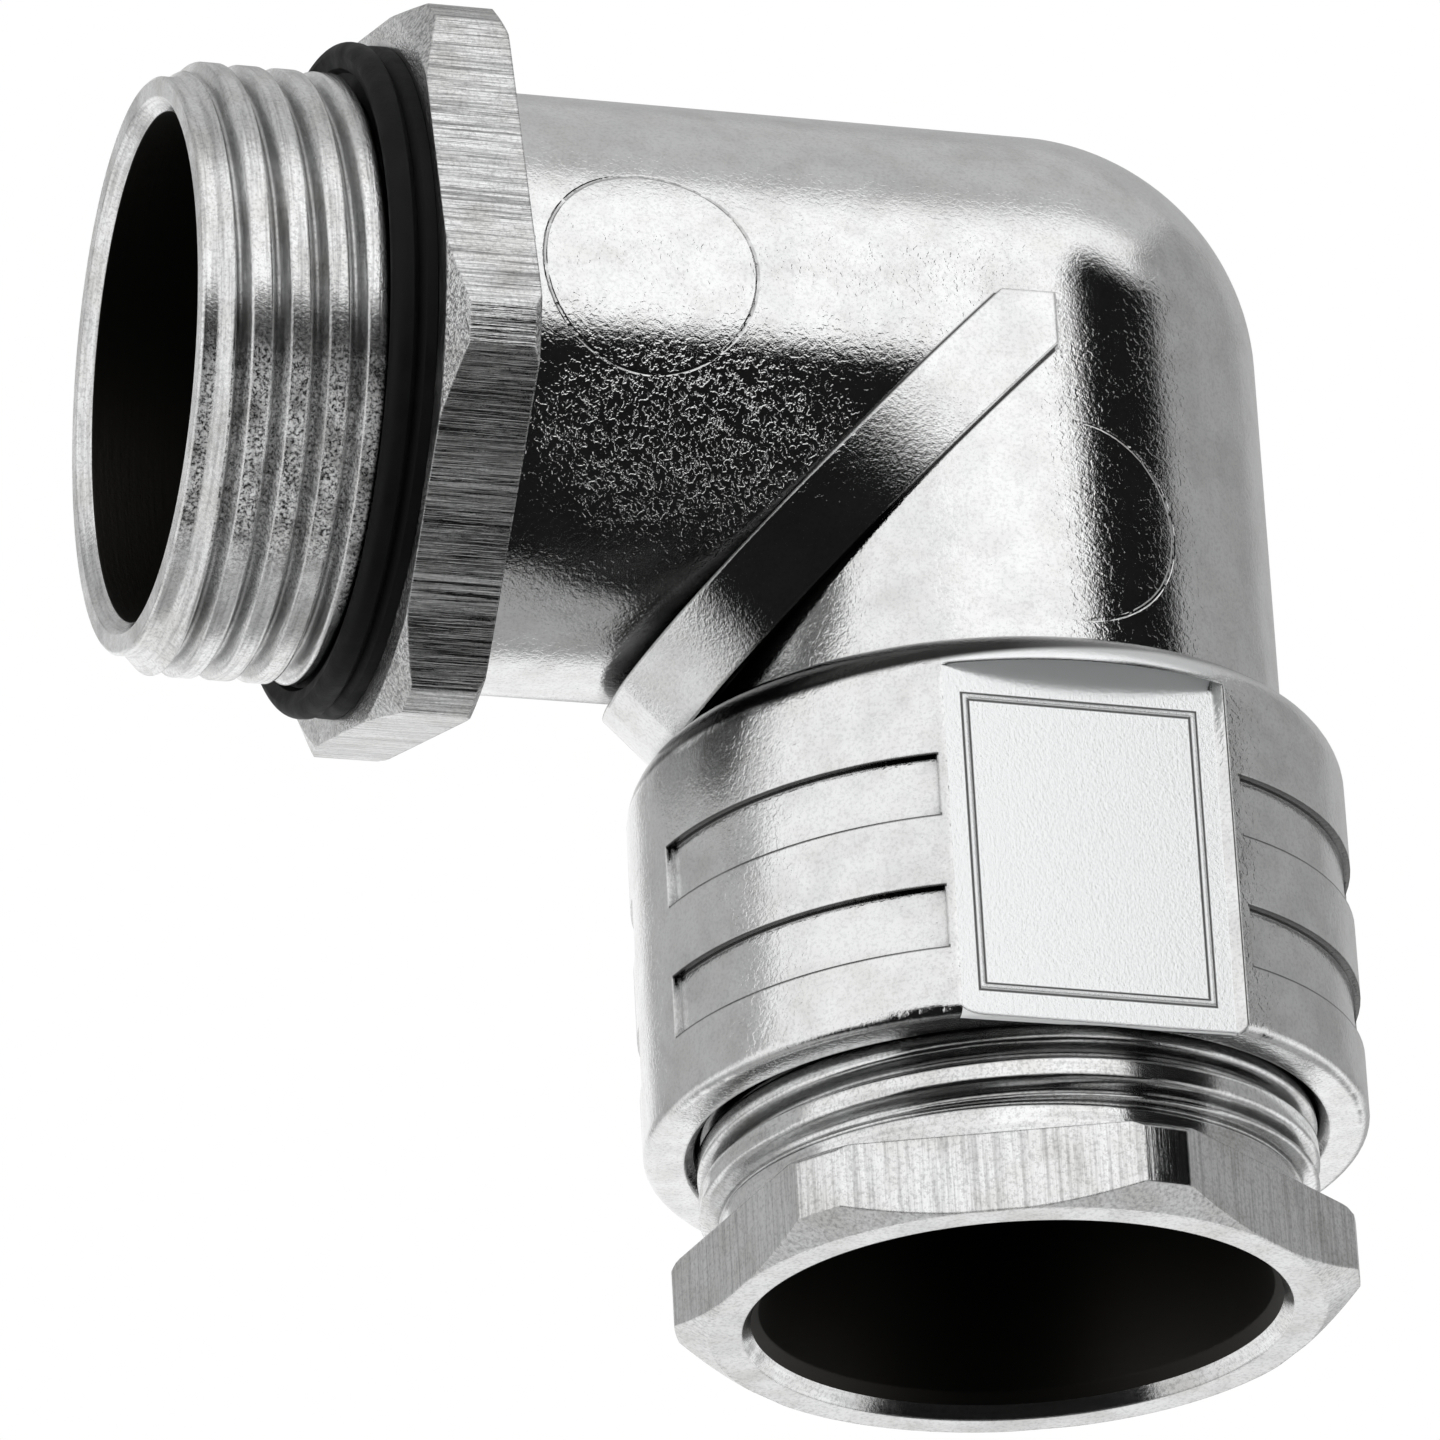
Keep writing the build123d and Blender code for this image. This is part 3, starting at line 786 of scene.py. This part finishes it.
# A plain raised border, cast with the elbow, runs round the pad near its edges. The pad
# is tilted a little about its left edge.
collar_radius, pad_half_width, pad_tilt = 0.01317, 0.0054, math.radians(1.5)
pad_depth = math.sqrt(collar_radius**2 - pad_half_width**2)
border_top, lift, sink = 0.00007, 0.00006, -0.00005
verts = []
for spread, height in (
    (border_foot, sink), (border_top, lift), (-border_top, lift), (-border_foot, sink),
):
    for side, end in ((-1, -1), (1, -1), (1, 1), (-1, 1)):
        x = pad_middle_x + side * (border_half_width + spread)
        z = pad_middle_z + end * (border_half_height + spread)
        y = (x - gland_x + pad_half_width) * math.tan(pad_tilt) - pad_depth - height
        verts.append((x, y, z))
mesh = closed_mesh("pad_border", verts, ring_faces(4, 4))
mesh.materials.append(cast_nickel)
pad_border = bpy.data.objects.new("pad_border", mesh)
bpy.context.scene.collection.objects.link(pad_border)
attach(pad_border, "elbow")

# The pressure screw is turned from hexagon bar and plated like the nipple: thread, plain
# neck, hexagon with turned corners, and a wide flared mouth that leads the cable in.
screw_nickel = plated(
    "screw_nickel",
    stain=(0.0022, 0.35), speckle=(0.00014, 0.25), marks=(300.0, 300.0, 7000.0),
    marks_depth=0.15, gloss=0.12, skin_depth=0.000004, crevice=0.0012, edge_round=0.00011,
    bar={
        "axis": 2, "through": (gland_x, 0, 0), "radius": 0.0110, "start": 0.0326,
        "depth": 0.15, "stretch": (6000.0, 6000.0, 200.0),
    },
)
tree = screw_nickel.node_tree
place = node(tree, "ShaderNodeTexCoord").outputs["Object"]
from_gland = axis_distance(tree, place, 2, (gland_x, 0, 0))
shade_inside(screw_nickel, under(tree, from_gland, 0.0096))

# The faced end scatters more light than the turned parts.
faced_end = product(
    tree,
    under(tree, parts_of(tree, "Normal")["Z"], -0.6),
    under(tree, parts_of(tree, "Object")["Z"], -0.0348),
    over(tree, from_gland, 0.0099),
)
metallic = compute(tree, "MULTIPLY_ADD", faced_end, -0.6, 1.0)
tree.links.new(metallic, tree.nodes["Principled BSDF"].inputs["Metallic"])
screw_thread = cut_thread(
    {
        **thread_sizes, "Start": 0.0236, "Length": 0.0077, "Phase": 0.2, "Rows": 110,
        "Tip radius": 0.01075, "Lead slope": 1.0,
    },
    screw_nickel, down_z,
)
neck_end, face, mouth_end = 32.65, 35.6, 34.7
back_cut, face_cut, cut_slope = 12.15, 11.15, 0.65 / 1.2
angles, reaches = hexagon_outline(11.1, 12.35, turn=-8.4)
screw_body = turned_piece(
    "screw_body",
    [
        # core of the thread and neck
        (23.6, 7.6), (23.6, 10.5), (31.4, 10.5), (31.5, 10.6), (neck_end, 10.6),
        # hexagon
        [(neck_end, min(r, back_cut)) for r in reaches],
        [(neck_end + max(0.0, r - back_cut), r) for r in reaches],
        [(face - max(0.0, r - face_cut) * cut_slope, r) for r in reaches],
        [(face, min(r, face_cut)) for r in reaches],
        # flared mouth and bore
        (face, 9.95), (mouth_end, 9.3), (27.6, 7.6),
    ],
    angles, down_z,
)
join(
    "screw_turned", "screw", screw_nickel, "turned_nickel", "pressure_screw",
    screw_body, screw_thread,
)
